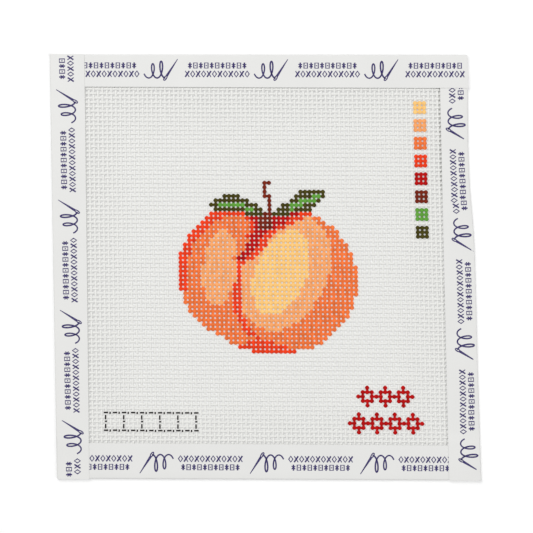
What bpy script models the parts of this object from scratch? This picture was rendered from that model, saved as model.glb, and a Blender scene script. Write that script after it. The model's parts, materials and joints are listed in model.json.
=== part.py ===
"""Needlepoint canvas bound with folded tape, lying flat with its painted face up.

Metres, +Z up, +Y towards the top of the picture. The origin is on the surface that the sheet lies
on, under the middle of its outline. The canvas is a thin slab, because its threads are one cloth.
Each of the four tapes is a strip folded over one edge, so it holds the canvas from both faces.
"""

import math

import bmesh
import bpy
from mathutils import Vector

MM = 0.001

# Corners in millimetres, clockwise from the top left, seen from above. The cloth is cut and bound by
# hand, so it is a little out of square: OUTLINE is its folded edge and WINDOW the tapes' inner edge.
OUTLINE = [(-94.5, 93.2), (88.2, 93.0), (94.5, -93.2), (-91.3, -92.4)]
WINDOW = [(-79.0, 79.0), (76.3, 78.4), (79.9, -77.9), (-77.2, -76.8)]
SIDES = ["top", "right", "bottom", "left"]  # side n runs from corner n to corner n + 1

CANVAS_THICKNESS = 0.9
TAPE_THICKNESS = 0.2
TAPE_WIDTH = 25.4  # the flat strip, before it is folded: one inch
GAP = 0.05  # clearance between faces that lie on each other
TUCK = 0.8  # how far an edge that goes into a fold stops short of the fold's outside
RAMP = 4.0  # length over which a tape comes down after it has crossed another
CROSSING_MARGIN = 1.0  # how far a tape stays raised past the tape that it crosses
FOLD_STEPS = 8
WAVE_STEPS = 32

# Which of the two tapes that meet at a corner lies on top, for each corner in turn.
UPPER_AT_CORNER = ["left", "top", "right", "left"]

# The right edge isn't quite straight: (fraction of its length from the top, millimetres inwards).
RIGHT_EDGE_WAVE = [(0.0, 0.0), (0.26, 0.9), (0.46, -0.4), (0.8, 0.0), (1.0, 0.0)]

LOW_REACH = CANVAS_THICKNESS / 2 + GAP  # from the middle plane to a tape's inner face
HIGH_REACH = LOW_REACH + TAPE_THICKNESS + GAP  # the same where it crosses another tape
MIDDLE_HEIGHT = HIGH_REACH + TAPE_THICKNESS  # the canvas's middle plane above the ground


def remove_everything():
    for old in list(bpy.data.objects):
        bpy.data.objects.remove(old, do_unlink=True)


def surface(name, colour, roughness):
    made = bpy.data.materials.new(name)
    made.use_nodes = True
    shader = made.node_tree.nodes["Principled BSDF"]
    shader.inputs["Base Color"].default_value = (*colour, 1.0)
    shader.inputs["Roughness"].default_value = roughness
    shader.inputs["Metallic"].default_value = 0.0
    return made


def solid(name, mesh_data, material):
    """A finished object from a bmesh whose lengths are millimetres."""
    bmesh.ops.recalc_face_normals(mesh_data, faces=mesh_data.faces)
    bmesh.ops.scale(mesh_data, vec=(MM, MM, MM), verts=mesh_data.verts)
    mesh = bpy.data.meshes.new(name)
    mesh_data.to_mesh(mesh)
    mesh_data.free()
    mesh.materials.append(material)
    made = bpy.data.objects.new(name, mesh)
    bpy.context.scene.collection.objects.link(made)
    return made


def corner(points, number):
    return Vector(points[number % 4])


def edge_line(points, side, inwards=0.0):
    """The straight line of one side, moved towards the middle of the sheet."""
    start, end = corner(points, side), corner(points, side + 1)
    along = (end - start).normalized()
    shift = Vector((along.y, -along.x)) * inwards
    return start + shift, end + shift


def meeting(first, second):
    """Where two lines, each given by two points, cross."""
    start, along = first[0], first[1] - first[0]
    other, across = second[0], second[1] - second[0]
    turn = along.x * across.y - along.y * across.x
    offset = other - start
    return start + along * ((offset.x * across.y - offset.y * across.x) / turn)


def wave(side, fraction):
    """How far the folded edge swings inwards, eased between the points of its wave."""
    if SIDES[side] != "right":
        return 0.0
    for (before, low), (after, high) in zip(RIGHT_EDGE_WAVE, RIGHT_EDGE_WAVE[1:]):
        if fraction <= after:
            share = (fraction - before) / (after - before)
            return low + (high - low) * (1 - math.cos(math.pi * share)) / 2
    return RIGHT_EDGE_WAVE[-1][1]


def folded_edge(side, point):
    """A point of a side's straight edge, moved by the wave of that side."""
    start, end = edge_line(OUTLINE, side)
    along = end - start
    fraction = min(max((point - start).dot(along) / along.length_squared, 0.0), 1.0)
    inwards = Vector((along.y, -along.x)).normalized()
    return point + inwards * wave(side, fraction)


def flap_depths(front):
    """How deep the front and the back of a folded tape reach, as one strip of constant width."""
    bend = math.pi * (LOW_REACH + TAPE_THICKNESS / 2)
    fold = LOW_REACH + TAPE_THICKNESS
    return front, TAPE_WIDTH - bend - (front - fold) + fold


def tape_end(side, number):
    """A tape's end at one corner: outer point, inner point, and whether it lies on top there."""
    upper = UPPER_AT_CORNER[number % 4] == SIDES[side]
    neighbour = number % 4 if number % 4 != side else (side - 1) % 4
    cut = edge_line(OUTLINE, neighbour, 0.0 if upper else TUCK)
    outer = meeting(edge_line(OUTLINE, side), cut)
    inner = meeting(edge_line(WINDOW, side), cut)
    width = (corner(WINDOW, number) - meeting(
        edge_line(OUTLINE, neighbour), edge_line(WINDOW, side))).length
    return outer, inner, upper, max(flap_depths(width)) + CROSSING_MARGIN


def reach_at(distance, length, start, end):
    """The inner face's distance from the middle plane, at a distance along the tape."""
    height = 0.0
    for away, (_, _, upper, crossing) in ((distance, start), (length - distance, end)):
        if upper:
            height = max(height, 1.0 - max(away - crossing, 0.0) / RAMP)
    return LOW_REACH + (HIGH_REACH - LOW_REACH) * height


def section(outer, inner, reach):
    """One cut through a folded tape: pairs of an outside point and the inside point behind it."""
    inwards = (inner - outer).normalized()
    front, back = flap_depths((inner - outer).length)
    radius = reach + TAPE_THICKNESS
    outline = [(back, -radius, back, -reach)]
    for step in range(FOLD_STEPS + 1):
        angle = math.pi * (step / FOLD_STEPS - 0.5)
        depths = [radius - size * math.cos(angle) for size in (radius, reach)]
        heights = [size * math.sin(angle) for size in (radius, reach)]
        outline.append((depths[0], heights[0], depths[1], heights[1]))
    outline.append((front, radius, front, reach))
    pairs = []
    for depth_out, height_out, depth_in, height_in in outline:
        out = outer + inwards * depth_out
        within = outer + inwards * depth_in
        pairs.append(((*out, MIDDLE_HEIGHT + height_out), (*within, MIDDLE_HEIGHT + height_in)))
    return pairs


def stations(length, start, end, side):
    """Distances along a tape at which its section changes."""
    cuts = {0.0, length}
    for position, sign, (_, _, upper, crossing) in ((0.0, 1, start), (length, -1, end)):
        if upper:
            cuts.update((position + sign * crossing, position + sign * (crossing + RAMP)))
    if SIDES[side] == "right":
        cuts.update(length * step / WAVE_STEPS for step in range(1, WAVE_STEPS))
    return sorted(cuts)


def folded_tape(side, material):
    start, end = tape_end(side, side), tape_end(side, side + 1)
    length = (end[0] - start[0]).length
    shape = bmesh.new()
    rings = []
    for distance in stations(length, start, end, side):
        share = distance / length
        outer = folded_edge(side, start[0].lerp(end[0], share))
        inner = start[1].lerp(end[1], share)
        pairs = section(outer, inner, reach_at(distance, length, start, end))
        rings.append([[shape.verts.new(point) for point in pair] for pair in pairs])
    for ring, following in zip(rings, rings[1:]):
        for number in range(len(ring) - 1):
            for face in (0, 1):
                shape.faces.new((ring[number][face], ring[number + 1][face],
                                 following[number + 1][face], following[number][face]))
        for tip in (0, -1):
            shape.faces.new((ring[tip][0], ring[tip][1], following[tip][1], following[tip][0]))
    for ring in (rings[0], rings[-1]):
        for pair, following in zip(ring, ring[1:]):
            shape.faces.new((pair[0], pair[1], following[1], following[0]))
    return solid("tape_" + SIDES[side], shape, material)


def canvas(material):
    """The cloth, as a slab that ends just inside the folds."""
    shape = bmesh.new()
    outline = []
    for side in range(4):
        neighbours = ((side - 1) % 4, side, (side + 1) % 4)
        before, line, after = (edge_line(OUTLINE, number, TUCK) for number in neighbours)
        start, end = meeting(before, line), meeting(line, after)
        steps = WAVE_STEPS if SIDES[side] == "right" else 1
        outline += [folded_edge(side, start.lerp(end, step / steps)) for step in range(steps)]
    bottom = MIDDLE_HEIGHT - CANVAS_THICKNESS / 2
    face = shape.faces.new([shape.verts.new((point.x, point.y, bottom)) for point in outline])
    raised = bmesh.ops.extrude_face_region(shape, geom=[face])["geom"]
    top = [item for item in raised if isinstance(item, bmesh.types.BMVert)]
    bmesh.ops.translate(shape, vec=(0.0, 0.0, CANVAS_THICKNESS), verts=top)
    return solid("canvas", shape, material)


remove_everything()
canvas(surface("sized cotton canvas", (0.76, 0.76, 0.73), 0.9))
tape_cotton = surface("white cotton tape", (0.79, 0.79, 0.77), 0.7)
for number in range(4):
    folded_tape(number, tape_cotton)
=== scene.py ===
"""Needlepoint canvas bound with folded tape: the finish of the sheet that the CAD model holds.

The canvas is woven from separate threads, warp over and under weft. A crossing that is to be stitched
carries a pad of paint, the tapes are smooth cotton, and the print on them is a thin film of ink.
Every size is in metres. Lattice places count threads: a whole number is a crossing, and the open
window starts half a thread after number 0 and ends half a thread before the last one.
"""

import json
import math

import bmesh
import bpy
import numpy as np
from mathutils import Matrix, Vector, noise

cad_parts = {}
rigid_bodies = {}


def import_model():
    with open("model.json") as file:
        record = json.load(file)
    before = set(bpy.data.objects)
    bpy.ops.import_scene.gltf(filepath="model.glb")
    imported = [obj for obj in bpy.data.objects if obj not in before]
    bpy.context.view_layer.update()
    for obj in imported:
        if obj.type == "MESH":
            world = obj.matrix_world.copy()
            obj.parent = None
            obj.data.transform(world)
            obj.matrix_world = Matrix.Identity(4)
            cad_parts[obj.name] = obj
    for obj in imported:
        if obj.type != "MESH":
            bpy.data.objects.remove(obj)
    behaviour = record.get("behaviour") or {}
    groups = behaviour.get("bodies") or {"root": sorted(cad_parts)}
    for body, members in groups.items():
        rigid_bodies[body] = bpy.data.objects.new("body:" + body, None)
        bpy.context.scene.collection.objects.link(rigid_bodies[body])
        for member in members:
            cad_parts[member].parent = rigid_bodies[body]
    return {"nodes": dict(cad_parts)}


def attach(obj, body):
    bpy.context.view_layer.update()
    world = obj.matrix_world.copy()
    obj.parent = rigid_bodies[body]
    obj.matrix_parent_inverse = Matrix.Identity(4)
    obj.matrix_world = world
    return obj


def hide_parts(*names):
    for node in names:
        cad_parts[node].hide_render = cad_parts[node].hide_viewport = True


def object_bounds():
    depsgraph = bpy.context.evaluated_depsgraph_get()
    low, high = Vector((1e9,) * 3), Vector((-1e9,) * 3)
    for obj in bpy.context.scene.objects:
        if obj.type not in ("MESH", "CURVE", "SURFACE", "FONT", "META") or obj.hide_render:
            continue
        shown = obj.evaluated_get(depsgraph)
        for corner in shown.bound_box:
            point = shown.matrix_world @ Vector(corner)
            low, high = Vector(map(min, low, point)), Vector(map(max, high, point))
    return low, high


bl_info = {
    "name": "Needlepoint Canvas",
    "version": (1, 0, 0),
    "blender": (4, 5, 0),
    "location": "3D View > Sidebar > Needlepoint",
    "description": "Weaves, paints and binds a needlepoint canvas",
    "category": "Object",
}

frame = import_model()
CAD_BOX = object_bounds()

MM = 0.001
BODY = "root"
SIDES = ["top", "right", "bottom", "left"]  # clockwise, as the tapes are laid
INWARDS = {"top": (0, -1), "right": (-1, 0), "bottom": (0, 1), "left": (1, 0)}
MIDDLE = (CAD_BOX[0][2] + CAD_BOX[1][2]) / 2  # height of the canvas's middle plane

HOLES_ACROSS, HOLES_UP = 80, 81  # holes that show in the window
WARP_RANGE = (-6, 85)  # first and last upright thread, the outer ones hidden under the tapes
WEFT_RANGE = (-6, 86)
SPARE_END = 0.5  # threads run on past the last crossing, in threads
SAG_WIDTH = 12  # threads over which the canvas sinks from its bound edge to the ground
STEPS_PER_CROSSING = 4
SECTION_SIDES = 8
PIECES_PER_SYSTEM = 4  # the warp and the weft are each made in this many pieces

# How far the outermost holes' centres lie inside the window's corners, in millimetres (x, y).
HOLE_INSETS = {"top_left": (0.7, 0.1), "top_right": (-0.3, 0.22),
               "bottom_left": (0.6, 0.6), "bottom_right": (-0.3, 0.6)}


# ---------------------------------------------------------------- colours and nodes

def linear(hex_colour):
    """An sRGB hex colour as linear red, green and blue."""
    channels = [int(hex_colour[place:place + 2], 16) / 255 for place in (0, 2, 4)]
    return tuple(c / 12.92 if c <= 0.04045 else ((c + 0.055) / 1.055) ** 2.4 for c in channels)


def rgba(colour):
    return (*colour, 1.0)


def plug(tree, node, inputs):
    """Gives a node's inputs, by name or number, values or the outputs of other nodes."""
    for name, value in inputs.items():
        if isinstance(value, bpy.types.Node):
            value = value.outputs[0]
        if isinstance(value, bpy.types.NodeSocket):
            tree.links.new(value, node.inputs[name])
        else:
            node.inputs[name].default_value = value


def add(tree, kind, inputs=None, **settings):
    """Adds a node with its settings and inputs."""
    made = tree.nodes.new(kind)
    for name, value in settings.items():
        setattr(made, name, value)
    plug(tree, made, inputs or {})
    return made


def node_group(name, inputs, outputs):
    """A new geometry node group, given the kind of each of its sockets."""
    tree = bpy.data.node_groups.new(name, "GeometryNodeTree")
    for in_out, kinds in (("INPUT", inputs), ("OUTPUT", outputs)):
        for socket, kind in kinds.items():
            tree.interface.new_socket(socket, in_out=in_out, socket_type="NodeSocket" + kind)
    return tree


def new_material(name):
    made = bpy.data.materials.new(name)
    made.use_nodes = True
    return made, made.node_tree, made.node_tree.nodes["Principled BSDF"]


def per_metre(size_mm):
    """A texture's scale for features of a size in millimetres."""
    return 1000.0 / size_mm


# ---------------------------------------------------------------- settings

def length_property(name, description, millimetres):
    return bpy.props.FloatProperty(
        name=name, description=description, default=millimetres * MM, unit="LENGTH")


class NeedlepointSizes(bpy.types.PropertyGroup):
    thread_width: length_property("Thread width", "Width of a flattened canvas thread", 1.06)
    thread_thickness: length_property(
        "Thread thickness", "Thickness of a flattened canvas thread", 0.32)
    crimp: length_property("Crimp", "How far a thread rises and sinks at its crossings", 0.15)
    unevenness: length_property("Unevenness", "How far threads wander from their straight lines", 0.16)
    sag: length_property("Sag", "How far the open canvas sinks below its bound edges", 0.42)
    paint_film: length_property("Paint film", "Thickness of the dried paint on a crossing", 0.03)
    ink_film: length_property("Ink film", "Thickness of the print on the tape", 0.02)
    print_repeat: length_property(
        "Print repeat", "Length of tape after which the print starts again", 48.2)


def colour_property(name, description, hex_colour):
    return bpy.props.FloatVectorProperty(
        name=name, description=description, default=linear(hex_colour),
        subtype="COLOR", size=3, min=0.0, max=1.0)


class NeedlepointColours(bpy.types.PropertyGroup):
    cotton: colour_property("Cotton", "Sized white cotton thread", "E8E8E5")
    tape: colour_property("Tape", "White binding tape", "E3E3E1")
    ink: colour_property("Ink", "Navy print on the tape", "261B5A")
    pen: colour_property("Pen", "Fine marking pen on the threads", "1A1314")
    pale: colour_property("Pale", "Highlight of the fruit", "FFC97C")
    light: colour_property("Light", "Lit side of the fruit", "FFA96A")
    coral: colour_property("Coral", "Body of the fruit", "F97A3C")
    flame: colour_property("Flame", "Red blush", "F84016")
    crimson: colour_property("Crimson", "Deep shade of the cleft", "C00606")
    brown: colour_property("Brown", "Stem", "7A240E")
    leaf: colour_property("Leaf", "Midrib of the leaves", "62A23E")
    olive: colour_property("Olive", "Leaves", "48420F")


PAINTS = ["pale", "light", "coral", "flame", "crimson", "brown", "leaf", "olive"]


def sizes():
    return bpy.context.scene.needlepoint_sizes


def colours():
    return bpy.context.scene.needlepoint_colours


# ---------------------------------------------------------------- places read from the frame

def furthest(points, direction):
    return points[int(np.argmax(points @ np.array(direction, float)))]


def upper_points(node):
    """Places (x, y) of a CAD tape's vertices on its front, in metres."""
    mesh = frame["nodes"][node].data
    points = np.array([vertex.co for vertex in mesh.vertices])
    return points[points[:, 2] > MIDDLE][:, :2]


def tape_lines(side):
    """A tape's folded edge and its inner edge, each from its first to its last end, clockwise."""
    points = upper_points("tape_" + side)
    inwards = np.array(INWARDS[side], float)
    along = np.array((inwards[1], -inwards[0])) * -1
    lines = []
    for across in (-inwards, inwards):
        lines.append([Vector(furthest(points, across - along)), Vector(furthest(points, across + along))])
    return lines


def folded_edge(side):
    """Where a tape's folded edge starts, the ways along it and inwards, and its length."""
    (start, end), _ = tape_lines(side)
    along = (end - start).normalized()
    return start, along, Vector((along.y, -along.x)), (end - start).length


def meeting(first, second):
    start, along = first[0], first[1] - first[0]
    other, across = second[0], second[1] - second[0]
    turn = along.x * across.y - along.y * across.x
    offset = other - start
    return start + along * ((offset.x * across.y - offset.y * across.x) / turn)


def lattice_corners():
    """Centres of the four outermost holes, from the window that the tapes leave open."""
    inner = {side: tape_lines(side)[1] for side in SIDES}
    found = {}
    for name, inset in HOLE_INSETS.items():
        row, column = name.split("_")
        found[name] = meeting(inner[row], inner[column]) + Vector(inset) * MM
    return found


# ---------------------------------------------------------------- geometry node trees

def place_group():
    """A group that turns lattice places (threads across, threads up, metres) into metres."""
    if "Weave place" in bpy.data.node_groups:
        return bpy.data.node_groups["Weave place"]
    corners = lattice_corners()
    values = {f"{row} {column}": (*corners[f"{row.lower()}_{column}"], 0.0)
              for row in ("Bottom", "Top") for column in ("left", "right")}
    values |= {"Unevenness": sizes().unevenness, "Sag": sizes().sag}
    kinds = {name: "Float" if isinstance(value, float) else "Vector" for name, value in values.items()}
    tree = node_group("Weave place", {"Lattice": "Vector", **kinds}, {"Place": "Vector"})
    for item in tree.interface.items_tree:
        if item.name in values:
            item.default_value = values[item.name]
    given = tree.nodes.new("NodeGroupInput").outputs
    parts = add(tree, "ShaderNodeSeparateXYZ", {0: given["Lattice"]}).outputs
    shares, offsets = [], []  # along the window and from its middle, as shares of its size
    for axis, holes in (("X", HOLES_ACROSS), ("Y", HOLES_UP)):
        moved = add(tree, "ShaderNodeMath", {0: parts[axis], 1: 0.5}, operation="SUBTRACT")
        shares.append(add(tree, "ShaderNodeMath", {0: moved, 1: holes - 1.0}, operation="DIVIDE"))
        offset = add(tree, "ShaderNodeMath", {0: shares[-1], 1: 0.5}, operation="SUBTRACT")
        offsets.append(add(tree, "ShaderNodeMath", {0: offset}, operation="ABSOLUTE"))
    flat = [given[name] for name in values if isinstance(values[name], tuple)]
    for share in shares:  # first between left and right, then between bottom and top
        flat = [add(tree, "ShaderNodeMix", {"Factor": share, 4: low, 5: high}, data_type="VECTOR",
                    clamp_factor=False).outputs[1] for low, high in zip(flat[::2], flat[1::2])]
    level = add(tree, "ShaderNodeCombineXYZ", {"X": parts["X"], "Y": parts["Y"]})
    drift = add(tree, "ShaderNodeTexNoise", {"Vector": level, "Scale": 0.11, "Detail": 3.0},
                noise_dimensions="3D")
    centred = add(tree, "ShaderNodeVectorMath", {0: drift.outputs["Color"], 1: (0.5, 0.5, 0.5)},
                  operation="SUBTRACT")
    scaled = add(tree, "ShaderNodeVectorMath", {0: centred, "Scale": given["Unevenness"]},
                 operation="SCALE")
    sideways = add(tree, "ShaderNodeVectorMath", {0: scaled, 1: (2.0, 2.0, 0.0)}, operation="MULTIPLY")
    outermost = add(tree, "ShaderNodeMath", {0: offsets[0], 1: offsets[1]}, operation="MAXIMUM")
    depth = add(tree, "ShaderNodeMapRange",
                {"Value": outermost, "From Min": 0.5, "From Max": 0.5 - SAG_WIDTH / HOLES_ACROSS,
                 "To Min": 0.0, "To Max": given["Sag"]}, interpolation_type="SMOOTHSTEP")
    sunken = add(tree, "ShaderNodeMath", {0: parts["Z"], 1: depth}, operation="SUBTRACT")
    lift = add(tree, "ShaderNodeCombineXYZ", {"Z": sunken})
    moved = add(tree, "ShaderNodeVectorMath", {0: flat[0], 1: sideways}, operation="ADD")
    placed = add(tree, "ShaderNodeVectorMath", {0: moved, 1: lift}, operation="ADD")
    add(tree, "NodeGroupOutput", {"Place": placed})
    return tree


def thread_tree():
    """Parallel threads of a plain weave, laid along X in lattice places, or along Y if upright."""
    inputs = {"Geometry": "Geometry", "First thread": "Int", "Threads": "Int", "Start": "Float",
              "Length": "Float", "Upright": "Bool", "Half width": "Float", "Half thickness": "Float",
              "Crimp": "Float", "Middle": "Float", "Material": "Material"}
    tree = node_group("Woven threads", inputs, {"Geometry": "Geometry"})
    given = tree.nodes.new("NodeGroupInput").outputs
    stop = add(tree, "ShaderNodeMath", {0: given["Start"], 1: given["Length"]}, operation="ADD")
    line = add(tree, "GeometryNodeCurvePrimitiveLine",
               {"Start": add(tree, "ShaderNodeCombineXYZ", {"X": given["Start"]}),
                "End": add(tree, "ShaderNodeCombineXYZ", {"X": stop})})
    steps = add(tree, "ShaderNodeMath", {0: given["Length"], 1: float(STEPS_PER_CROSSING)},
                operation="MULTIPLY")
    stations = add(tree, "ShaderNodeMath", {0: steps, 1: 1.0}, operation="ADD")
    sampled = add(tree, "GeometryNodeResampleCurve", {"Curve": line, "Count": stations})
    origin = add(tree, "ShaderNodeCombineXYZ", {"Y": given["First thread"]})
    beams = add(tree, "GeometryNodeMeshLine",
                {"Count": given["Threads"], "Start Location": origin, "Offset": (0.0, 1.0, 0.0)})
    strung = add(tree, "GeometryNodeInstanceOnPoints", {"Points": beams, "Instance": sampled})
    threads = add(tree, "GeometryNodeRealizeInstances", {"Geometry": strung})

    place = add(tree, "GeometryNodeInputPosition")
    parts = add(tree, "ShaderNodeSeparateXYZ", {0: place}).outputs
    crossings = add(tree, "ShaderNodeMath", {0: parts["X"], 1: parts["Y"]}, operation="ADD")
    turns = add(tree, "ShaderNodeMath", {0: crossings, 1: math.pi}, operation="MULTIPLY")
    swing = add(tree, "ShaderNodeMath", {0: turns}, operation="COSINE")
    wave = add(tree, "ShaderNodeMath", {0: swing, 1: given["Crimp"]}, operation="MULTIPLY")
    opposite = add(tree, "ShaderNodeMath", {0: wave, 1: -1.0}, operation="MULTIPLY")
    over = add(tree, "GeometryNodeSwitch",
               {"Switch": given["Upright"], "False": opposite, "True": wave}, input_type="FLOAT")
    height = add(tree, "ShaderNodeMath", {0: over, 1: given["Middle"]}, operation="ADD")
    lying = add(tree, "ShaderNodeCombineXYZ", {"X": parts["X"], "Y": parts["Y"], "Z": height})
    standing = add(tree, "ShaderNodeCombineXYZ", {"X": parts["Y"], "Y": parts["X"], "Z": height})
    chosen = add(tree, "GeometryNodeSwitch",
                 {"Switch": given["Upright"], "False": lying, "True": standing}, input_type="VECTOR")
    placed = add(tree, "GeometryNodeGroup", node_tree=place_group())
    plug(tree, placed, {"Lattice": chosen})
    fineness = add(tree, "ShaderNodeTexNoise", {"Vector": place, "Scale": 0.6, "Detail": 1.0})
    girth = add(tree, "ShaderNodeMapRange", {"Value": fineness, "To Min": 0.9, "To Max": 1.1})
    thick = add(tree, "GeometryNodeSetCurveRadius", {"Curve": threads, "Radius": girth})
    woven = add(tree, "GeometryNodeSetPosition", {"Geometry": thick, "Position": placed})
    level = add(tree, "GeometryNodeSetCurveNormal", {"Curve": woven}, mode="Z_UP")
    ring = add(tree, "GeometryNodeCurvePrimitiveCircle", {"Resolution": SECTION_SIDES, "Radius": 1.0})
    turned = add(tree, "GeometryNodeTransform",
                 {"Geometry": ring, "Rotation": (0.0, 0.0, math.pi / SECTION_SIDES)})
    flattened = add(tree, "ShaderNodeCombineXYZ",
                    {"X": given["Half width"], "Y": given["Half thickness"], "Z": 1.0})
    profile = add(tree, "GeometryNodeTransform", {"Geometry": turned, "Scale": flattened})
    body = add(tree, "GeometryNodeCurveToMesh",
               {"Curve": level, "Profile Curve": profile, "Fill Caps": True})
    smooth = add(tree, "GeometryNodeSetShadeSmooth", {"Geometry": body, "Shade Smooth": True})
    real = add(tree, "GeometryNodeRealizeInstances", {"Geometry": smooth})
    coated = add(tree, "GeometryNodeSetMaterial", {"Geometry": real, "Material": given["Material"]})
    add(tree, "NodeGroupOutput", {"Geometry": coated})
    return tree


def scatter_tree(name, place_node=None):
    """Shapes picked from a collection, one on each point, turned and given a material.

    They are set in the lattice by the place group, or else draped over the surface below them."""
    inputs = {"Geometry": "Geometry", "Shapes": "Collection", "Height": "Float", "Surface": "Object",
              "Material": "Material"}
    tree = node_group(name, inputs, {"Geometry": "Geometry"})
    given = tree.nodes.new("NodeGroupInput").outputs
    shapes = add(tree, "GeometryNodeCollectionInfo",
                 {"Collection": given["Shapes"], "Separate Children": True, "Reset Children": True})
    variant = add(tree, "GeometryNodeInputNamedAttribute", {"Name": "variant"}, data_type="INT")
    turn = add(tree, "GeometryNodeInputNamedAttribute", {"Name": "turn"}, data_type="FLOAT")
    spin = add(tree, "ShaderNodeCombineXYZ", {"Z": turn})
    stamped = add(tree, "GeometryNodeInstanceOnPoints",
                  {"Points": given["Geometry"], "Instance": shapes, "Pick Instance": True,
                   "Instance Index": variant, "Rotation": spin})
    real = add(tree, "GeometryNodeRealizeInstances", {"Geometry": stamped})
    place = add(tree, "GeometryNodeInputPosition")
    if place_node:
        lift = add(tree, "ShaderNodeCombineXYZ", {"Z": given["Height"]})
        raised = add(tree, "ShaderNodeVectorMath", {0: place, 1: lift}, operation="ADD")
        moved = add(tree, "GeometryNodeGroup", node_tree=place_node)
        plug(tree, moved, {"Lattice": raised})
    else:
        parts = add(tree, "ShaderNodeSeparateXYZ", {0: place}).outputs
        above = add(tree, "ShaderNodeCombineXYZ",
                    {"X": parts["X"], "Y": parts["Y"], "Z": given["Height"]})
        target = add(tree, "GeometryNodeObjectInfo", {"Object": given["Surface"]},
                     transform_space="ORIGINAL")
        hit = add(tree, "GeometryNodeRaycast",
                  {"Target Geometry": target.outputs["Geometry"], "Source Position": above,
                   "Ray Direction": (0.0, 0.0, -1.0), "Ray Length": 0.1})
        lift = add(tree, "ShaderNodeCombineXYZ", {"Z": parts["Z"]})
        moved = add(tree, "ShaderNodeVectorMath", {0: hit.outputs["Hit Position"], 1: lift},
                    operation="ADD")
    settled = add(tree, "GeometryNodeSetPosition", {"Geometry": real, "Position": moved})
    coated = add(tree, "GeometryNodeSetMaterial", {"Geometry": settled, "Material": given["Material"]})
    add(tree, "NodeGroupOutput", {"Geometry": coated})
    return tree


def finished_mesh(shape, name):
    mesh = bpy.data.meshes.new(name)
    shape.to_mesh(mesh)
    shape.free()
    return mesh


def apply_tree(carrier, tree, values, name):
    """Runs a tree on an object and returns the plain mesh object that it makes."""
    modifier = carrier.modifiers.new("Build", "NODES")
    modifier.node_group = tree
    sockets = {item.name: item.identifier for item in tree.interface.items_tree
               if item.in_out == "INPUT" and item.socket_type != "NodeSocketGeometry"}
    for key, value in values.items():
        modifier[sockets[key]] = value
    bpy.context.view_layer.update()
    evaluated = carrier.evaluated_get(bpy.context.evaluated_depsgraph_get())
    mesh = bpy.data.meshes.new_from_object(evaluated)
    carrier.modifiers.remove(modifier)
    bpy.data.objects.remove(carrier)
    mesh.name = name
    return link(name, mesh)


def link(name, mesh):
    made = bpy.data.objects.new(name, mesh)
    bpy.context.scene.collection.objects.link(made)
    return made


def point_cloud(name, places, variants, turns):
    """A mesh of loose points, each with the number and the turn of the shape that stands on it."""
    mesh = bpy.data.meshes.new(name)
    mesh.from_pydata([tuple(place) for place in places], [], [])
    mesh.attributes.new("variant", "INT", "POINT").data.foreach_set("value", variants)
    mesh.attributes.new("turn", "FLOAT", "POINT").data.foreach_set("value", turns)
    return link(name, mesh)


def shape_collection(name, meshes):
    """The shapes of one scatter, in a collection whose order is their order."""
    group = bpy.data.collections.new(name)
    bpy.context.scene.collection.children.link(group)
    for number, mesh in enumerate(meshes):
        group.objects.link(bpy.data.objects.new(f"{name}_{number:02d}", mesh))
    return group


def drop_collection(group):
    for shape in list(group.objects):
        bpy.data.objects.remove(shape)
    bpy.data.collections.remove(group)


# ---------------------------------------------------------------- the picture

# Places and sizes in the picture are in threads. An oval is its centre, its radii and its tilt in
# degrees, and a leaf is its base, its tip, its half width and its arch.
LOBES = ((43.8, 37.1), (16.5, 16.4)), ((33.6, 38.6), (13.2, 14.9)), ((38.2, 34.2), (12.2, 13.4))
RIM = (35.6, 37.4), (13.6, 14.6)  # the blush lies outside it, on the left
RIM_FOOT, FRUIT_TOP = 34, 52
CLEFT_START = 33.5
CLEFT_BEND, CLEFT_SOFTNESS, CLEFT_LEAN = 40.5, 2.4, 0.33  # it leans to the stem above the bend
CLEFT_TURN, CLEFT_SWEEP = 31, 0.085  # and sweeps out below the turn
CLEFT_HALF = 0.7
HOLLOW_FOOT, HOLLOW_BACK, HOLLOW_FLARE = 41, 48, 0.9  # the deep shade widens from foot to back
UNDERSIDE, UNDERSIDE_MIDDLE, UNDERSIDE_SLOPE = 23.8, 38.5, 0.3
HIGHLIGHT = (43.3, 38.8), (5.7, 10.0), -22
LIT_CHEEK = (44.2, 38.8), (9.3, 13.8), -26
SMALL_CHEEK = (29.8, 39.8), (3.8, 8.6), -8
CALYX = (40.2, 50.4), (1.7, 2.2)
STEM_ROWS, STEM_PLACE, STEM_BEND, STEM_HALF = (52, 59), 40.6, 0.55, 0.66
LEAVES = (((41.0, 51.2), (27.4, 54.2), 1.75, 1.35), ((41.6, 51.4), (53.9, 56.9), 1.95, 0.35))
CHAINS = (60, 72, 11), (58, 74, 5)  # first and last column and middle row of each chain
LINK = 4  # length of one diamond
KEY_COLUMN, KEY_TOP, KEY_STEP = 75, 77, 4
LADDER_COLUMNS, LADDER_ROWS, RUNG = (4, 24), (3, 7), 4


def oval(u, v, centre, radii, tilt=0.0):
    """How far a place is from an oval's centre, as a share of the way to its rim."""
    du, dv = u - centre[0], v - centre[1]
    turn = math.radians(tilt)
    along = du * math.cos(turn) + dv * math.sin(turn)
    across = dv * math.cos(turn) - du * math.sin(turn)
    return math.hypot(along / radii[0], across / radii[1])


def leaf_paint(u, v, base, tip, half_width, arch):
    """A leaf between two points: olive, with its midrib in leaf green, or None outside it."""
    axis = Vector(tip) - Vector(base)
    away = Vector((u, v)) - Vector(base)
    share = away.dot(axis) / axis.length_squared
    if not 0.0 <= share <= 1.0:
        return None
    side = 1 if axis.x > 0 else -1
    offset = (axis.x * away.y - axis.y * away.x) / axis.length * side - arch * math.sin(math.pi * share)
    if abs(offset) > half_width * math.sin(math.pi * share ** 1.5) + 0.45:
        return None
    return "leaf" if -0.85 < offset < 0.35 and 0.3 < share < 0.85 else "olive"


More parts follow.
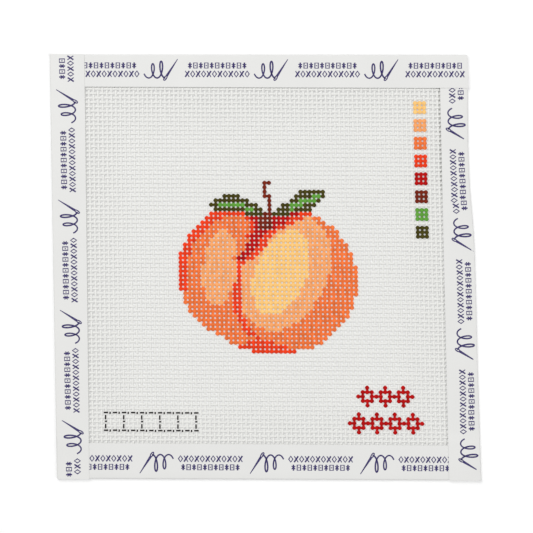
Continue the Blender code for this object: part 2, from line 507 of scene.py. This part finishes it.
def fruit_paint(u, v):
    """The paint of the fruit's body at one crossing: round lobes that a cleft divides."""
    if v > FRUIT_TOP or min(oval(u, v, *lobe) for lobe in LOBES) > 1:
        return None
    above, below, rise = v - CLEFT_BEND, max(CLEFT_TURN - v, 0), v - HOLLOW_FOOT
    cleft = CLEFT_START + CLEFT_LEAN * (above + math.hypot(above, CLEFT_SOFTNESS))
    beside = u - cleft - CLEFT_SWEEP * below ** 2
    spread = max(v - HOLLOW_BACK, 0) * HOLLOW_FLARE
    if rise > 0 and -1.0 - spread <= beside <= 0.9 + rise * 0.16 + spread:
        return "crimson"
    if rise > 0 and -2.0 - spread <= beside <= 2.2 + rise * 0.3 + spread:
        return "flame" if beside > 0 or v > HOLLOW_BACK - 2 else "coral"
    if abs(beside) <= CLEFT_HALF or v < UNDERSIDE - UNDERSIDE_SLOPE * abs(u - UNDERSIDE_MIDDLE):
        return "flame"
    if beside > 0:
        if oval(u, v, *HIGHLIGHT) < 1:
            return "pale"
        return "light" if oval(u, v, *LIT_CHEEK) < 1 else "coral"
    if oval(u, v, *SMALL_CHEEK) < 1:
        return "light"
    return "flame" if oval(u, v, *RIM) > 1 and v > RIM_FOOT else "coral"


def border_paint(u, v):
    """Two chains of small diamonds, a sample border in the corner of the canvas."""
    for first, last, middle in CHAINS:
        if first <= u <= last and 1 <= abs((u - first) % LINK - LINK / 2) + abs(v - middle) <= 2:
            return "crimson"
    return None


def key_paint(u, v):
    """The colour key: one square of nine stitches for each paint, down the right side."""
    step, within = divmod(KEY_TOP - v, KEY_STEP)
    if abs(u - KEY_COLUMN) > 1 or within > 2 or not 0 <= step < len(PAINTS):
        return None
    return PAINTS[step]


def stitch_paint(u, v):
    """The paint on one crossing, or None where the canvas is bare."""
    stem = STEM_PLACE + STEM_BEND * math.sin(0.9 * (v - STEM_ROWS[0]))
    if STEM_ROWS[0] <= v <= STEM_ROWS[1] and abs(u - stem) <= STEM_HALF:
        return "brown"
    for leaf in LEAVES:
        found = leaf_paint(u, v, *leaf)
        if found:
            return found
    if oval(u, v, *CALYX) < 1:
        return "brown"
    return fruit_paint(u, v) or key_paint(u, v) or border_paint(u, v)


def painted_stitches():
    window = [(u, v) for u in range(1, HOLES_ACROSS) for v in range(1, HOLES_UP)]
    found = {place: stitch_paint(*place) for place in window}
    return {place: paint for place, paint in found.items() if paint}


def pen_lines():
    """Crossings under a ladder drawn in pen, for counting stitches: on its rungs and on its rails."""
    (first, last), (low, high) = LADDER_COLUMNS, LADDER_ROWS
    rungs = {(u, v) for u in range(first, last + 1, RUNG) for v in range(low, high + 1)}
    rails = {(u, v) for u in range(first, last + 1) for v in LADDER_ROWS}
    return rungs, rails


# ---------------------------------------------------------------- paint pads

ARM = 0.505  # a pad's arm reaches just past the middle between two crossings
OPEN_ARM = 0.50  # and this far where it ends on bare thread
NECK = 0.265  # half the width of an arm that meets its neighbour's
TIP = 0.12  # half the width of an arm's end on bare thread
SWELL = 0.03  # how much further out a pad's corner lies for each arm beside it that ends
CORNER_STEPS = 3
RIM_DROP = 0.05 * MM  # how far the paint thins out at a pad's rim
PAD_FOOT = -0.04 * MM  # a pad reaches down into its thread to here, from the middle plane


def pad_outline(mask):
    """A pad's outline in threads, anticlockwise. Bit n of mask says that arm n meets a neighbour."""
    outline = []
    for quarter in range(4):
        joined = [mask >> arm & 1 for arm in (quarter, (quarter + 1) % 4)]
        widths = [NECK if meets else TIP for meets in joined]
        reaches = [ARM if meets else OPEN_ARM for meets in joined]
        corner = NECK + SWELL * (2 - sum(joined))
        start, bend, end = (Vector((reaches[0], widths[0])), Vector((corner, corner)),
                            Vector((widths[1], reaches[1])))
        for step in range(CORNER_STEPS + 1):
            share = step / CORNER_STEPS
            point = start * (1 - share) ** 2 + bend * 2 * share * (1 - share) + end * share ** 2
            turn = quarter * math.pi / 2
            outline.append(Vector((point.x * math.cos(turn) - point.y * math.sin(turn),
                                   point.x * math.sin(turn) + point.y * math.cos(turn))))
    return outline


def pad_height(point):
    """Height of the paint over the middle plane, with the upper thread running along Y."""
    size = sizes()
    crown = size.crimp + size.thread_thickness / 2 + size.paint_film
    edge = size.thread_thickness / 2 + size.paint_film
    fall = min(1.0, (abs(point.x) * 1.35 + abs(point.y) * 0.65) * 1.7)
    return crown + (edge - crown) * fall ** 1.6


def pad_mesh(mask):
    shape = bmesh.new()
    outline = pad_outline(mask)
    centre = shape.verts.new((0.0, 0.0, pad_height(Vector((0.0, 0.0)))))
    rings = []
    for scale in (0.5, 1.0):
        points = [point * scale for point in outline]
        drop = RIM_DROP if scale == 1.0 else 0.0
        rings.append([shape.verts.new((*point, pad_height(point) - drop)) for point in points])
    rings.append([shape.verts.new((*point, PAD_FOOT)) for point in outline])
    count = len(outline)
    for number in range(count):
        after = (number + 1) % count
        shape.faces.new((centre, rings[0][number], rings[0][after]))
        for upper, lower in zip(rings, rings[1:]):
            shape.faces.new((upper[number], lower[number], lower[after], upper[after]))
    shape.faces.new(rings[-1][::-1])
    mesh = finished_mesh(shape, f"pad_{mask}")
    mesh.shade_smooth()
    return mesh


def pad_points(stitches, paint):
    """Where one paint's pads stand, which arms they have and how they are turned."""
    places, variants, turns = [], [], []
    for (u, v), own in sorted(stitches.items()):
        if own != paint:
            continue
        joined = [step in stitches for step in ((u + 1, v), (u, v + 1), (u - 1, v), (u, v - 1))]
        quarter = (u + v) % 2  # the weft lies on top where this is 1
        variants.append(sum(1 << arm for arm in range(4) if joined[(arm + quarter) % 4]))
        turns.append(quarter * math.pi / 2)
        places.append((u, v, 0.0))
    return places, variants, turns


# ---------------------------------------------------------------- materials

def cotton_material():
    """Sized canvas cotton, spun and plain woven: dull, stiff thread whose twist catches fine light.

    The colour comes from the paint and the pen that have soaked in, which each face holds."""
    made, tree, shader = new_material("sized canvas cotton, plain woven")
    place = add(tree, "ShaderNodeTexCoord").outputs["Object"]
    soaked = add(tree, "ShaderNodeAttribute", attribute_name="soaked").outputs["Color"]
    cloud = add(tree, "ShaderNodeTexNoise", {"Vector": place, "Scale": per_metre(14.0), "Detail": 3.0})
    shade = add(tree, "ShaderNodeMapRange", {"Value": cloud, "To Min": 0.965, "To Max": 1.0})
    toned = add(tree, "ShaderNodeVectorMath", {0: soaked, "Scale": shade.outputs[0]},
                operation="SCALE")
    along = add(tree, "ShaderNodeUVMap", uv_map="OFBake").outputs[0]
    twist = add(tree, "ShaderNodeTexWave",
                {"Vector": along, "Scale": 60.0, "Distortion": 1.5, "Detail": 2.0},
                wave_type="BANDS", bands_direction="DIAGONAL").outputs["Fac"]
    fibre = add(tree, "ShaderNodeTexNoise", {"Vector": place, "Scale": per_metre(0.12), "Detail": 2.0})
    mixed = add(tree, "ShaderNodeMath", {0: twist, 1: fibre}, operation="ADD")
    bump = add(tree, "ShaderNodeBump", {"Height": mixed, "Strength": 0.35, "Distance": 0.03 * MM})
    plug(tree, shader, {"Base Color": toned, "Normal": bump, "Roughness": 0.88,
                        "Specular IOR Level": 0.3})
    return made


def paint_material(paint, colour):
    """Acrylic artist's paint, brushed on by hand: even colour with thin and thick strokes."""
    made, tree, shader = new_material(f"acrylic paint, brushed, {paint}")
    place = add(tree, "ShaderNodeTexCoord").outputs["Object"]
    strokes = add(tree, "ShaderNodeMapping", {"Vector": place, "Scale": (1.0, 0.35, 1.0)})
    brush = add(tree, "ShaderNodeTexNoise", {"Vector": strokes, "Scale": per_metre(1.1), "Detail": 4.0})
    depth = add(tree, "ShaderNodeMapRange", {"Value": brush, "From Min": 0.3, "From Max": 0.7})
    dark = tuple(channel * (0.6 + 0.45 * colour[1]) for channel in colour)
    thin = tuple(min(channel * 1.08 + 0.003, 1.0) for channel in colour)
    mixed = add(tree, "ShaderNodeMix", {"Factor": depth, 6: rgba(dark), 7: rgba(thin)},
                data_type="RGBA").outputs[2]
    grain = add(tree, "ShaderNodeTexNoise", {"Vector": place, "Scale": per_metre(0.25), "Detail": 3.0})
    bump = add(tree, "ShaderNodeBump", {"Height": grain, "Strength": 0.3, "Distance": 0.03 * MM})
    plug(tree, shader, {"Base Color": mixed, "Normal": bump, "Roughness": 0.8,
                        "Specular IOR Level": 0.12})
    return made


def tape_material():
    """Bleached cotton tape, finely woven and pressed smooth: a flat, soft white with a faint grain."""
    made, tree, shader = new_material("bleached cotton tape, pressed smooth")
    place = add(tree, "ShaderNodeTexCoord").outputs["Object"]
    cloud = add(tree, "ShaderNodeTexNoise", {"Vector": place, "Scale": per_metre(22.0), "Detail": 4.0})
    white = colours().tape
    mixed = add(tree, "ShaderNodeMix",
                {"Factor": cloud, 6: rgba(tuple(c * 0.94 for c in white)), 7: rgba(white)},
                data_type="RGBA").outputs[2]
    weave = []
    for axis in ("X", "Y"):
        band = add(tree, "ShaderNodeTexWave", {"Vector": place, "Scale": per_metre(0.5) / 20},
                   wave_type="BANDS", bands_direction=axis)
        weave.append(band.outputs["Fac"])
    cloth = add(tree, "ShaderNodeMath", {0: weave[0], 1: weave[1]}, operation="MULTIPLY")
    bump = add(tree, "ShaderNodeBump", {"Height": cloth, "Strength": 0.4, "Distance": 0.02 * MM})
    plug(tree, shader, {"Base Color": mixed, "Normal": bump, "Roughness": 0.7,
                        "Specular IOR Level": 0.3})
    return made


def ink_material():
    """Navy screen-printing ink, dried in the cloth: dense, with slight wear on the thread tops."""
    made, tree, shader = new_material("navy ink, screen printed")
    place = add(tree, "ShaderNodeTexCoord").outputs["Object"]
    worn = add(tree, "ShaderNodeTexNoise", {"Vector": place, "Scale": per_metre(0.7), "Detail": 3.0})
    shade = add(tree, "ShaderNodeMapRange", {"Value": worn, "From Min": 0.35, "From Max": 0.8})
    navy = colours().ink
    faded = tuple(channel * 1.3 + 0.05 for channel in navy)
    mixed = add(tree, "ShaderNodeMix", {"Factor": shade, 6: rgba(navy), 7: rgba(faded)},
                data_type="RGBA").outputs[2]
    plug(tree, shader, {"Base Color": mixed, "Roughness": 0.6, "Specular IOR Level": 0.3})
    return made


# ---------------------------------------------------------------- weaving

BELOW_SHARE = 0.55  # how much of the paint reaches a thread's underside
PEN_CROSSING = 0.3  # half the length of the dash that a pen line leaves on a thread it crosses


def weave_is_up(place, upright):
    """Whether the thread that runs this way lies on top at a crossing."""
    return (sum(place) % 2 == 0) == upright


def unwrap(mesh, count, stations):
    """Gives each thread its own row of the map.

    Returns each corner's face, and each face's thread, middle station, side and whether it has
    four corners."""
    ring, polygons = SECTION_SIDES, len(mesh.polygons)
    starts = np.zeros(polygons, dtype=np.int32)
    totals = np.zeros(polygons, dtype=np.int32)
    mesh.polygons.foreach_get("loop_start", starts)
    mesh.polygons.foreach_get("loop_total", totals)
    corners = np.zeros(len(mesh.loops), dtype=np.int32)
    mesh.loops.foreach_get("vertex_index", corners)
    thread, rest = np.divmod(corners, stations * ring)
    station, side = np.divmod(rest, ring)
    owner = np.repeat(np.arange(polygons), totals)
    lowest, highest = np.full(polygons, ring), np.zeros(polygons, dtype=int)
    np.minimum.at(lowest, owner, side)
    np.maximum.at(highest, owner, side)
    wraps = (highest - lowest == ring - 1) & (totals == 4)
    around = np.where(wraps[owner] & (side == 0), ring, side).astype(float)
    uv = np.empty((len(corners), 2))
    uv[:, 0] = 0.002 + 0.996 * station / (stations - 1)
    uv[:, 1] = (thread + 0.04 + 0.92 * around / ring) / count
    mesh.uv_layers.new(name="OFBake").data.foreach_set("uv", uv.ravel())
    face_side = np.where(wraps, ring - 1, lowest)
    return owner, thread[starts], np.bincount(owner, station) / totals, face_side, totals == 4


def soak(mesh, first, count, start, length, upright, stitches, lines):
    """Gives each face of the threads the colour that has soaked into it, from paint or from pen."""
    stations = int(length * STEPS_PER_CROSSING) + 1
    owner, face_thread, middle_station, face_side, four_sided = unwrap(mesh, count, stations)
    cotton, pen = np.array(colours().cotton), np.array(colours().pen)
    tones = {name: np.array(getattr(colours(), name)) for name in PAINTS}
    normals = np.empty(len(mesh.polygons) * 3)
    mesh.polygons.foreach_get("normal", normals)
    upward = normals.reshape(-1, 3)[:, 2]
    top_side = int(np.bincount(face_side[(upward > 0.9) & four_sided], minlength=SECTION_SIDES).argmax())
    pen_sides = (top_side, (top_side + 1) % SECTION_SIDES)
    tints = np.tile(cotton, (len(mesh.polygons), 1))
    along = start + middle_station / STEPS_PER_CROSSING
    nearest = np.rint(along).astype(int)
    reach = along - nearest
    same_way, other_way = lines if upright else lines[::-1]
    for face in range(len(mesh.polygons)):
        line = first + int(face_thread[face])
        place = (line, int(nearest[face])) if upright else (int(nearest[face]), line)
        paint = stitches.get(place)
        if paint:
            step = 1 if reach[face] > 0 else -1
            beyond = (place[0], place[1] + step) if upright else (place[0] + step, place[1])
            if beyond in stitches or abs(reach[face]) < 1.0 / STEPS_PER_CROSSING:
                share = 1.0 if upward[face] > -0.2 else BELOW_SHARE
                tints[face] = tones[paint] * share + cotton * (1 - share)
        elif face_side[face] in pen_sides and abs(reach[face]) < 0.5 and weave_is_up(place, upright):
            if place in same_way or (place in other_way and abs(reach[face]) < PEN_CROSSING):
                tints[face] = pen
    tint = mesh.color_attributes.new("soaked", "FLOAT_COLOR", "CORNER")
    tint.data.foreach_set("color", np.column_stack((tints[owner], np.ones(len(owner)))).ravel())


def weave_system(tree, name, lines, across, upright, material, stitches, pen):
    """All threads of one direction, in a few pieces of neighbouring threads."""
    size = sizes()
    start = across[0] - SPARE_END
    length = across[1] - across[0] + 2 * SPARE_END
    count = lines[1] - lines[0] + 1
    cuts = [lines[0] + round(count * part / PIECES_PER_SYSTEM) for part in range(PIECES_PER_SYSTEM + 1)]
    for number, (first, following) in enumerate(zip(cuts, cuts[1:])):
        threads = following - first
        carrier = link("carrier", bpy.data.meshes.new("carrier"))
        values = {"First thread": first, "Threads": threads, "Start": start,
                  "Length": length, "Upright": upright, "Half width": size.thread_width / 2,
                  "Half thickness": size.thread_thickness / 2, "Crimp": size.crimp,
                  "Middle": MIDDLE, "Material": material}
        piece = apply_tree(carrier, tree, values, f"{name}_{number + 1}")
        soak(piece.data, first, threads, start, length, upright, stitches, pen)
        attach(piece, BODY)
        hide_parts("canvas")


class NEEDLEPOINT_OT_weave(bpy.types.Operator):
    """Weave the open canvas from warp and weft threads"""
    bl_idname = "needlepoint.weave"
    bl_label = "Weave canvas"

    def execute(self, context):
        tree = thread_tree()
        cotton = cotton_material()
        stitches, pen = painted_stitches(), pen_lines()
        weave_system(tree, "warp_threads", WARP_RANGE, WEFT_RANGE, True, cotton, stitches, pen)
        weave_system(tree, "weft_threads", WEFT_RANGE, WARP_RANGE, False, cotton, stitches, pen)
        return {"FINISHED"}


class NEEDLEPOINT_OT_paint(bpy.types.Operator):
    """Paint the fruit, the colour key and the sample border on the crossings"""
    bl_idname = "needlepoint.paint"
    bl_label = "Paint picture"

    def execute(self, context):
        tree = scatter_tree("Paint pads", place_group())
        shapes = shape_collection("pad", [pad_mesh(mask) for mask in range(16)])
        stitches = painted_stitches()
        for paint in PAINTS:
            cloud = point_cloud("stitches", *pad_points(stitches, paint))
            material = paint_material(paint, tuple(getattr(colours(), paint)))
            values = {"Shapes": shapes, "Height": MIDDLE, "Material": material}
            piece = apply_tree(cloud, tree, values, f"paint_{paint}")
            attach(piece, BODY)
        drop_collection(shapes)
        return {"FINISHED"}


# ---------------------------------------------------------------- tapes and their print

TAPE_STEP = 2.2 * MM  # spacing of the cuts across a tape
TAPE_RELIEF = 0.12 * MM  # how far the pressed tape still stands off the cloth in places
DEPTH_CUTS = (3.2 * MM, 6.4 * MM, 9.6 * MM)
RELIEF_LENGTH = 19 * MM  # about how far apart the tape's rises are
RELIEF_EASE = 0.4 * MM  # height over the middle plane at which the relief is full
MERGE = 0.001 * MM
SHARP_ANGLE = math.radians(50)


def soft_relief(x, y):
    """A smooth rise and fall over the sheet, from 0 to 1, the same for tapes that lie on each other."""
    place = Vector((x, y, 0.0)) / RELIEF_LENGTH
    return 0.5 + 0.5 * max(-1.0, min(1.0, noise.noise(place) + 0.5 * noise.noise(place * 2.6)))


def cloth_tape(side):
    """A CAD tape as cloth: the same fold, cut into narrow strips that rise and fall a little."""
    start, along, inwards, length = folded_edge(side)
    shape = bmesh.new()
    shape.from_mesh(frame["nodes"]["tape_" + side].data)
    bmesh.ops.remove_doubles(shape, verts=shape.verts, dist=MERGE)
    bmesh.ops.dissolve_limit(shape, angle_limit=0.0005, verts=shape.verts, edges=shape.edges)
    cuts = [(along, start + along * (TAPE_STEP * step)) for step in range(1, int(length / TAPE_STEP))]
    cuts += [(inwards, start + inwards * depth) for depth in DEPTH_CUTS]
    for normal, place in cuts:
        everything = shape.verts[:] + shape.edges[:] + shape.faces[:]
        bmesh.ops.bisect_plane(shape, geom=everything, dist=MERGE / 10,
                               plane_co=(*place, 0.0), plane_no=(*normal, 0.0))
    for vertex in shape.verts:
        if vertex.co.z > MIDDLE:
            ease = min((vertex.co.z - MIDDLE) / RELIEF_EASE, 1.0)
            vertex.co.z += TAPE_RELIEF * ease * soft_relief(vertex.co.x, vertex.co.y)
    bmesh.ops.triangulate(shape, faces=shape.faces)
    mesh = finished_mesh(shape, "tape_cloth_" + side)
    while mesh.attributes.get("custom_normal"):  # the CAD faces' normals no longer fit the cut faces
        mesh.attributes.remove(mesh.attributes["custom_normal"])
    mesh.shade_smooth()
    mesh.set_sharp_from_angle(angle=SHARP_ANGLE)
    return mesh, length


class NEEDLEPOINT_OT_bind(bpy.types.Operator):
    """Fold the cotton tapes over the edges of the canvas"""
    bl_idname = "needlepoint.bind"
    bl_label = "Fold tapes"

    def execute(self, context):
        material = tape_material()
        for side in SIDES:
            mesh, length = cloth_tape(side)
            mesh.materials.append(material)
            tape = link("folded_tape_" + side, mesh)
            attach(tape, BODY)
            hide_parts("tape_" + side)
        return {"FINISHED"}


STROKE = 0.54 * MM  # width of a printed line
MARK_HEIGHT = 3.0 * MM
MARK_PITCH = 2.38 * MM
ROW_GAP = 3.7 * MM  # between the middles of the two rows of marks
EDGE_STEP = 0.5 * MM  # spacing at which a folded edge is measured
ROW_COUNTS = (12, 11)  # marks in the row nearer to the window and in the other one
NEEDLE_HALF = (6.9 * MM, 4.7 * MM)  # half the length and half the height of the needle and thread
NEEDLE_EYE = (1.15 * MM, 0.5 * MM)  # half its length and half its width
SHAFT_WIDTHS, EYE_WIDTHS, THREAD_WIDTHS = (0.3 * MM, 1.1 * MM), (0.5 * MM, 0.5 * MM), (0.72 * MM, 0.62 * MM)
LOOP_TURNS, LOOP_STEPS = 2.2, 72
NEEDLE = 4  # the needle's number among the printed shapes, after the four marks

# Where the print lies on each tape, in millimetres: from the folded edge to the print's middle line,
# and from the tape's first end, clockwise, to the middle of a needle.
PRINT_PLACE = {"top": (6.7, 0.3), "right": (5.0, 30.3), "bottom": (7.1, 45.5), "left": (7.3, 18.7)}


def ribbon(shape, points, widths, closed=False):
    """A flat printed line along a path, as a thin closed film. A width may change from end to end."""
    path = [Vector(point) for point in points]
    film = sizes().ink_film
    count = len(path)
    rows = []
    for number, point in enumerate(path):
        before = path[number - 1] if closed or number else path[0]
        after = path[(number + 1) % count] if closed or number < count - 1 else path[-1]
        along = (after - before).normalized()
        width = widths[0] + (widths[1] - widths[0]) * number / (count - 1)
        aside = Vector((-along.y, along.x)) * width / 2
        rows.append([shape.verts.new((place.x, place.y, height)) for place, height in
                     ((point - aside, film), (point + aside, film), (point + aside, -film),
                      (point - aside, -film))])
    pairs = list(zip(rows, rows[1:])) + ([(rows[-1], rows[0])] if closed else [])
    for row, following in pairs:
        for corner in range(4):
            after = (corner + 1) % 4
            shape.faces.new((row[corner], following[corner], following[after], row[after]))
    if not closed:
        shape.faces.new(rows[0])
        shape.faces.new(rows[-1][::-1])


def mark_mesh(name, strokes):
    """A printed mark. Each stroke is its points, its first and last width, and whether it closes."""
    shape = bmesh.new()
    for points, widths, closed in strokes:
        ribbon(shape, points, widths, closed)
    bmesh.ops.recalc_face_normals(shape, faces=shape.faces)
    return finished_mesh(shape, name)


def stitch_marks():
    """Four plain marks as on a stitch chart: a cross, a diamond, a star and a box."""
    high, low, short = 0.44 * MARK_HEIGHT, 0.22 * MARK_HEIGHT, 0.38 * MARK_HEIGHT
    cross, diamond, star, box = (share * MARK_HEIGHT for share in (0.29, 0.30, 0.27, 0.25))
    thick, even, thin = ((STROKE * share,) * 2 for share in (1.25, 1.0, 0.8))
    return {"cross": [([(-cross, -high), (cross, high)], thick, False),
                      ([(-cross, high), (cross, -high)], thin, False)],
            "diamond": [([(diamond, 0), (0, high), (-diamond, 0), (0, -high)], even, True)],
            "star": [([(0, -high), (0, high)], thick, False),
                     ([(-star, -low), (star, low)], thin, False),
                     ([(-star, low), (star, -low)], thin, False)],
            "box": [([(box, -short), (box, short), (-box, short), (-box, -short)], even, True),
                    ([(0, -0.2 * short), (0, 0.2 * short)], even, False)]}


def needle_strokes():
    """A threaded needle, lying slantwise, whose thread runs from the eye through two loops."""
    wide, high = NEEDLE_HALF
    point, head = Vector((-0.98 * wide, -0.98 * high)), Vector((-0.12 * wide, 0.98 * high))
    along = (head - point).normalized()
    aside = Vector((-along.y, along.x))
    eye_long, eye_wide = NEEDLE_EYE
    eye = head - along * eye_long
    shaft = [point.lerp(eye - along * eye_long, step / 4) for step in range(5)]
    rim = [eye + along * math.sin(turn) * eye_long + aside * math.cos(turn) * eye_wide
           for turn in (step * math.pi / 7 for step in range(14))]
    strokes = [(shaft, SHAFT_WIDTHS, False), (rim, EYE_WIDTHS, True)]
    thread = []
    for step in range(LOOP_STEPS + 1):
        share = step / LOOP_STEPS
        turn = share * LOOP_TURNS * 2 * math.pi
        swing = 0.88 * high * (1 - 0.3 * share)
        x = eye.x + (0.95 * wide - eye.x) * share + 0.20 * wide * math.sin(turn)
        thread.append((x, eye.y - swing * (1 - math.cos(turn)) * 0.95))
    strokes.append((thread, THREAD_WIDTHS, False))
    return strokes


def folded_edge_shift(side, distance):
    """How far a tape's folded edge lies inside the straight line between its ends, at one place."""
    start, along, inwards, _ = folded_edge(side)
    offsets = upper_points("tape_" + side) - np.array(start)
    places, depths = offsets @ np.array(along), offsets @ np.array(inwards)
    near = depths < 2 * MM
    rounded = np.round(places[near] / EDGE_STEP)
    stations = sorted(set(rounded))
    edge = [depths[near][rounded == station].min() for station in stations]
    return float(np.interp(distance, np.array(stations) * EDGE_STEP, edge))


def print_points(side):
    """Places, shapes and turns of every mark on one tape."""
    start, along, inwards, length = folded_edge(side)
    from_edge, first = (value * MM for value in PRINT_PLACE[side])
    repeat = sizes().print_repeat
    turn = math.atan2(inwards.y, inwards.x) - math.pi / 2
    way = 1 if math.cos(turn) * along.x + math.sin(turn) * along.y > 0 else -1
    places, variants, turns = [], [], []

    def stamp(distance, rise, variant, half):
        if half <= distance <= length - half:
            depth = from_edge + folded_edge_shift(side, distance) + rise
            spot = start + along * distance + inwards * depth
            places.append((spot.x, spot.y, 0.0))
            variants.append(variant)
            turns.append(turn)

    middle = first - repeat
    while middle < length + repeat:
        stamp(middle, 0.0, NEEDLE, NEEDLE_HALF[0])
        block = middle + way * repeat / 2
        for row, count in enumerate(ROW_COUNTS):
            rise = ROW_GAP / 2 if row == 0 else -ROW_GAP / 2
            for number in range(count):
                offset = (number - (count - 1) / 2) * MARK_PITCH
                stamp(block + offset, rise, 2 * row + number % 2, MARK_HEIGHT / 2)
        middle += repeat
    return places, variants, turns


class NEEDLEPOINT_OT_print(bpy.types.Operator):
    """Print rows of stitch marks and a needle with its thread along each tape"""
    bl_idname = "needlepoint.print"
    bl_label = "Print tapes"

    def execute(self, context):
        tree = scatter_tree("Tape print")
        strokes = {**stitch_marks(), "needle": needle_strokes()}
        shapes = shape_collection("mark", [mark_mesh(name, lines) for name, lines in strokes.items()])
        material = ink_material()
        for side in SIDES:
            tape = bpy.data.objects["folded_tape_" + side]
            cloud = point_cloud("marks", *print_points(side))
            values = {"Shapes": shapes, "Height": CAD_BOX[1][2] + 1 * MM, "Surface": tape,
                      "Material": material}
            piece = apply_tree(cloud, tree, values, f"print_{side}")
            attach(piece, BODY)
        drop_collection(shapes)
        return {"FINISHED"}


# ---------------------------------------------------------------- stage

VIEW_WIDTH = 232.9 * MM  # what the picture's width takes in at the sheet
VIEW_CENTRE = (0.44 * MM, 0.37 * MM)
LENS, SENSOR = 100.0, 36.0
FLOOR_HALF = 3.0
SOFTBOXES = {"key softbox": ((-0.5, 0.7, 1.3), 1.1, 14.0),  # place, width and power in watts
             "fill softbox": ((0.9, -0.5, 1.2), 1.2, 7.0)}
SKY_STRENGTH = 0.45


def floor_material():
    """Opal acrylic panel, matte and softly lit from below: a pure white ground with hardly a shadow."""
    made, tree, shader = new_material("opal acrylic panel, matte, glowing")
    place = add(tree, "ShaderNodeTexCoord").outputs["Object"]
    cloud = add(tree, "ShaderNodeTexNoise", {"Vector": place, "Scale": per_metre(300.0), "Detail": 1.0})
    shade = add(tree, "ShaderNodeMix", {"Factor": cloud, 6: (0.72, 0.72, 0.72, 1.0),
                                        7: (0.75, 0.75, 0.75, 1.0)}, data_type="RGBA").outputs[2]
    plug(tree, shader, {"Base Color": shade, "Roughness": 0.95, "Specular IOR Level": 0.1,
                        "Emission Color": (1.0, 1.0, 1.0, 1.0), "Emission Strength": 0.24})
    return made


def soft_light(name, place, size, power):
    lamp = bpy.data.lights.new(name, "AREA")
    lamp.shape = "DISK"
    lamp.size = size
    lamp.energy = power
    made = bpy.data.objects.new(name, lamp)
    made.location = place
    made.rotation_euler = (-Vector(place)).to_track_quat("-Z", "Y").to_euler()
    bpy.context.scene.collection.objects.link(made)


class NEEDLEPOINT_OT_stage(bpy.types.Operator):
    """Lay the white floor and set the soft lights and the camera"""
    bl_idname = "needlepoint.stage"
    bl_label = "Set stage"

    def execute(self, context):
        scene = context.scene
        ground = bmesh.new()
        bmesh.ops.create_grid(ground, x_segments=8, y_segments=8, size=FLOOR_HALF)
        bmesh.ops.translate(ground, vec=(0.0, 0.0, CAD_BOX[0][2] - 0.02 * MM), verts=ground.verts)
        mesh = finished_mesh(ground, "floor")
        mesh.materials.append(floor_material())
        link("floor", mesh)

        for name, lamp in SOFTBOXES.items():
            soft_light(name, *lamp)
        world = bpy.data.worlds.new("studio")
        world.use_nodes = True
        plug(world.node_tree, world.node_tree.nodes["Background"],
             {"Color": (1.0, 1.0, 1.0, 1.0), "Strength": SKY_STRENGTH})
        scene.world = world
        scene.view_settings.view_transform = "Standard"

        camera = bpy.data.cameras.new("camera")
        camera.lens = LENS
        camera.sensor_width = SENSOR
        eye = bpy.data.objects.new("camera", camera)
        eye.location = (*VIEW_CENTRE, CAD_BOX[1][2] + VIEW_WIDTH * LENS / SENSOR)
        scene.collection.objects.link(eye)
        scene.camera = eye
        return {"FINISHED"}


class NEEDLEPOINT_PT_panel(bpy.types.Panel):
    """The steps that make the canvas, in order"""
    bl_idname = "NEEDLEPOINT_PT_panel"
    bl_label = "Needlepoint canvas"
    bl_space_type = "VIEW_3D"
    bl_region_type = "UI"
    bl_category = "Needlepoint"

    def draw(self, context):
        for step in OPERATORS:
            self.layout.operator(step.bl_idname)
        for group in (context.scene.needlepoint_sizes, context.scene.needlepoint_colours):
            for name in group.__annotations__:
                self.layout.prop(group, name)


OPERATORS = (NEEDLEPOINT_OT_stage, NEEDLEPOINT_OT_weave, NEEDLEPOINT_OT_paint,
             NEEDLEPOINT_OT_bind, NEEDLEPOINT_OT_print)
CLASSES = (NeedlepointSizes, NeedlepointColours, *OPERATORS, NEEDLEPOINT_PT_panel)


def register():
    for item in CLASSES:
        bpy.utils.register_class(item)
    bpy.types.Scene.needlepoint_sizes = bpy.props.PointerProperty(type=NeedlepointSizes)
    bpy.types.Scene.needlepoint_colours = bpy.props.PointerProperty(type=NeedlepointColours)


def unregister():
    del bpy.types.Scene.needlepoint_sizes
    del bpy.types.Scene.needlepoint_colours
    for item in reversed(CLASSES):
        bpy.utils.unregister_class(item)


def main():
    register()
    bpy.ops.needlepoint.stage()
    bpy.ops.needlepoint.weave()
    bpy.ops.needlepoint.paint()
    bpy.ops.needlepoint.bind()
    bpy.ops.needlepoint.print()


if __name__ == "__main__":
    main()
